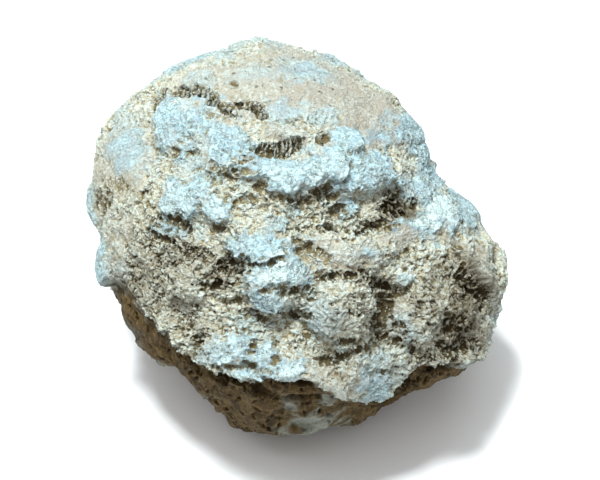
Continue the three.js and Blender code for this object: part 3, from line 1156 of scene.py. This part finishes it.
# The soil colours are brown dirt and painted shade together; the darkest pair marks faces turned from the
# light.
SOIL_AND_SHADE, PALE_SOIL_AND_SHADE = (0.075, 0.058, 0.028), (0.35, 0.325, 0.25)
BLACK_SOIL_AND_SHADE, GREY_SOIL_AND_SHADE = (0.055, 0.04, 0.02), (0.23, 0.21, 0.155)


def patchy_mask(name, spread):
    """A mask times 1 plus `spread` times the patches and 0.8 times the grain, both about nought."""
    shift = plus(times(minus(patch, 0.5), spread), times(minus(grain, 0.5), 0.8))
    return times(given[name], plus(1.0, shift), clamp=True)


near_chalk = patchy_mask("Chalk", 2.6)
tone = plus(times(given["Tone"], 0.35), times(grain, 0.65))
by_patch = ramp(patch, 0.35, 0.65)
cream = mix(ramp(tone, 0.5, 0.7), mix(ramp(tone, 0.25, 0.5), WARM_CREAM, CREAM), COOL_CREAM)
skin_tan = mix(ramp(grain, 0.5, 0.3), mix(by_patch, TAN_SKIN, GREY_SKIN), DUSTY_SKIN)
blue = mix(ramp(given["Chalk"], 0.85, 1.4), mix(by_patch, DEEP_BLUE, PALE_BLUE), WHITE_BLUE)
soil_and_shade = mix(ramp(tone, 0.25, 0.7), SOIL_AND_SHADE, PALE_SOIL_AND_SHADE)
# Where the brown mask is strongest, the soil turns darker: painted shade on faces turned from the light.
soil_and_shade = mix(ramp(given["Brown"], 0.6, 0.95), soil_and_shade, mix(tone, BLACK_SOIL_AND_SHADE, GREY_SOIL_AND_SHADE))
colour = mix(patchy_mask("Tan", 1.0), cream, skin_tan)
colour = mix(near_chalk, colour, blue)
colour = mix(patchy_mask("Brown", 1.4), colour, soil_and_shade)
print("nodes with the colours:", len(group.nodes))

# %% [markdown]
# Peaks get a painted highlight where the cavity mask is low. Gaps, chinks between beads, cracks and creases
# in the plates take painted shade where the bump relief dips, and specks on the tan skin are darker. Then the
# holes: the deeper a place is sunk, the more of the hole's colour it takes, dirt and painted shade together,
# ochre in the clean crust and nearly black in the brown one.

# %% Peaks, gaps and holes
# The gap, chink, crack and crease colours are painted shade, laid where the bump relief dips.
PEAK_HIGHLIGHT, GAP_SHADE, CHINK_SHADE = (0.62, 0.75, 0.74), (0.20, 0.165, 0.10), (0.20, 0.16, 0.085)
CRACK_SHADE, CREASE_SHADE, SPECK = (0.16, 0.14, 0.09), (0.17, 0.16, 0.12), (0.10, 0.09, 0.07)
# The hole colours are dirt and painted shade together, darker the deeper a place is sunk.
OCHRE_DIRT_AND_SHADE, DEEP_OCHRE_DIRT_AND_SHADE = (0.19, 0.147, 0.05), (0.08, 0.054, 0.015)
UMBER_DIRT_AND_SHADE, DEEP_UMBER_DIRT_AND_SHADE = (0.06, 0.043, 0.018), (0.03, 0.02, 0.006)
bare = minus(minus(1.0, times(given["Tan"], 0.7)), times(near_chalk, 0.4), clamp=True)
# The peak mask lays a painted highlight where the cavity mask is low, less of it on the brown.
peak_highlight = times(ramp(given["Cavity"], 0.4, 0.05), minus(0.5, times(given["Brown"], 0.45)))
crease = ramp(reckon("ABSOLUTE", minus(fold_waves, 0.48)), 0.035, 0.005)
crease = times(crease, times(near_chalk, ramp(grain, 0.65, 0.45)))
sunk_in = times_plus(minus(grain, 0.5), -0.5, given["Cavity"])
deepest = ramp(times_plus(given["Brown"], 0.25, sunk_in), 0.72, 1.0)
for share, shade in (
    (peak_highlight, PEAK_HIGHLIGHT),
    (times(ramp(lumps, 0.44, 0.34), times(bare, 0.3)), GAP_SHADE),
    (times(ramp(beads, 0.5, 0.75), times(bare, 0.4)), CHINK_SHADE),
    (times(crack, 0.4), CRACK_SHADE),
    (times(crease, 0.7), CREASE_SHADE),
    (times(speck, given["Tan"]), SPECK),
    (times(ramp(sunk_in, 0.5, 0.85), 0.75), mix(ramp(given["Brown"], 0.05, 0.6), OCHRE_DIRT_AND_SHADE, UMBER_DIRT_AND_SHADE)),
    (times(deepest, times_plus(given["Brown"], 0.4, 0.6)), mix(given["Brown"], DEEP_OCHRE_DIRT_AND_SHADE, DEEP_UMBER_DIRT_AND_SHADE)),
):
    colour = mix(share, colour, shade)
print("nodes with the holes:", len(group.nodes))

# %% [markdown]
# The underside is brown rock with a little grey chalk, and its colours also hold painted shade, so they are
# far darker than the crust's; its colour goes on last, over the crust's. Fine grain then darkens both, a
# painted shade where the finest relief dips. What stands out in the patterns also stands out in the finest
# relief, which a bump node will add.

# %% The underside and the finest relief
# The underside's colours are brown rock with painted shade, far darker than the crust's, and darker still in
# its holes.
SHADED_DARK_ROCK, SHADED_ROCK, SHADED_PALE_ROCK = (0.028, 0.0165, 0.0035), (0.075, 0.047, 0.014), (0.115, 0.074, 0.024)
SHADED_ROCK_HOLE, SHADED_GREY_CHALK, SHADE = (0.022, 0.013, 0.003), (0.23, 0.24, 0.20), (0.5, 0.43, 0.32)
shaded_rock = mix(ramp(tone, 0.42, 0.7), mix(by_patch, SHADED_DARK_ROCK, SHADED_ROCK), SHADED_PALE_ROCK)
shaded_rock = mix(times(ramp(sunk_in, 0.45, 0.8), 0.7), shaded_rock, SHADED_ROCK_HOLE)
colour = mix(given["Under"], colour, mix(near_chalk, shaded_rock, SHADED_GREY_CHALK))
# Painted shade: where the fine noise is low, and so the bump dips, the colour is darkened.
colour = mix(times(ramp(fine, 0.48, 0.3), 0.45), colour, SHADE, "MULTIPLY")
height = times_plus(fine, 0.45, times_plus(grain, 0.4, times(lumps, 0.35)))
height = times_plus(plus(crack, crease), -0.15, height)
height = times_plus(times(beads, bare), -0.25, height)
roughness = plus(0.78, times(given["Cavity"], 0.2))
node(group, "NodeGroupOutput", {"Color": colour, "Roughness": roughness, "Height": height})
print("nodes in the group:", len(group.nodes), "links:", len(group.links))

# %% [markdown]
# The material reads each mask from the mesh and gives it to the group. Stone this crumbly has hardly any
# gloss, so the shader reflects little, and its bump is only as high as the grain.

# %% The crust's material
GLOSS = 0.25
GRAIN_HEIGHT = 0.0008  # m
crust_finish = bpy.data.materials.new("crust")
crust_finish.use_nodes = True
tree = crust_finish.node_tree
shader = tree.nodes["Principled BSDF"]
masks = {"Place": tree.nodes.new("ShaderNodeTexCoord").outputs["Object"]}
for field in fields:
    masks[field.capitalize()] = node(tree, "ShaderNodeAttribute", attribute_name=field).outputs["Fac"]
mixed = node(tree, "ShaderNodeGroup", masks, node_tree=group)
bump_links = {"Strength": 1.0, "Distance": GRAIN_HEIGHT, "Height": mixed.outputs["Height"]}
bump = node(tree, "ShaderNodeBump", bump_links)
fill(tree, shader.inputs["Base Color"], mixed.outputs["Color"])
fill(tree, shader.inputs["Roughness"], mixed.outputs["Roughness"])
fill(tree, shader.inputs["Normal"], bump.outputs[0])
shader.inputs["Specular IOR Level"].default_value = GLOSS
for piece in pieces:
    piece.data.materials.append(crust_finish)
    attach(piece, "root")
    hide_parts("geode")
print("pieces with the finish:", len(pieces))

# %% [markdown]
# ## The table, the light and the camera
# The geode rests on a pale, matt table. A plain square of paper white does for that, because it only
# catches the shadow.

# %% The table
TABLE_WIDTH = 6  # m
bpy.ops.mesh.primitive_plane_add(size=TABLE_WIDTH)
floor = bpy.context.object
floor.name = "floor"
paper = bpy.data.materials.new("paper")
paper.use_nodes = True
paper.node_tree.nodes["Principled BSDF"].inputs["Base Color"].default_value = (0.93, 0.93, 0.94, 1)
paper.node_tree.nodes["Principled BSDF"].inputs["Roughness"].default_value = 0.9
floor.data.materials.append(paper)
print("the table is", TABLE_WIDTH, "m wide")

# %% [markdown]
# Crumbs show best in light that comes from one side, so a small, strong key lamp hangs nearly overhead.
# Wide, weak lamps all round, and a dim white world, keep the shadows soft and open.

# %% The light
LAMP_DISTANCE = 1.0  # m
LAMPS = [  # which way it hangs, how wide it is, in m, its power, in W, and its colour
    ("key", (-0.16, -0.08, 1.0), 0.2, 15.2, (0.95, 1.0, 1.01)),
    ("sky", (0.0, 0.0, 1.0), 1.0, 5.2, (0.93, 1.0, 1.02)),
    ("left side", (-1.0, 0.35, 0.55), 0.7, 2.3, (0.97, 1.0, 1.0)),
    ("right side", (1.0, 0.6, 0.6), 0.7, 1.1, (0.97, 1.0, 1.0)),
    ("front", (0.0, -0.8, 0.85), 0.7, 2.9, (1.0, 0.98, 0.95)),
]


def hung(name, what, aim, way, distance):
    """A lamp or camera that looks at the aim from this way and distance, in m."""
    made = bpy.data.objects.new(name, what)
    way = Vector(way).normalized()
    made.location = Vector(aim) * MM + way * distance
    made.rotation_euler = way.to_track_quat("Z", "Y").to_euler()
    bpy.context.scene.collection.objects.link(made)
    return made


for name, way, size, watts, tint in LAMPS:
    lamp = bpy.data.lights.new(name, "AREA")
    lamp.size, lamp.energy, lamp.color = size, watts, tint
    hung(name, lamp, CENTRE, way, LAMP_DISTANCE)
world = bpy.data.worlds.new("studio")
world.use_nodes = True
world.node_tree.nodes["Background"].inputs["Color"].default_value = (1.0, 1.0, 1.0, 1)
world.node_tree.nodes["Background"].inputs["Strength"].default_value = 0.12
bpy.context.scene.world = world
print("lamps:", len(LAMPS), "with", sum(lamp[3] for lamp in LAMPS), "W in all")

# %% [markdown]
# The camera looks down at 45 degrees from the front, with a long lens, so that the near side isn't swollen.

# %% The camera
AIM = (1.1, -0.4, 44.2)  # mm
CAMERA_DISTANCE = 0.48  # m
camera = bpy.data.cameras.new("camera")
camera.lens, camera.sensor_width = 108.6, 36
bpy.context.scene.camera = hung("camera", camera, AIM, (0, -1, 1), CAMERA_DISTANCE)
bpy.context.scene.view_settings.view_transform = "Standard"
print("camera at, m:", [round(x, 3) for x in bpy.context.scene.camera.location])
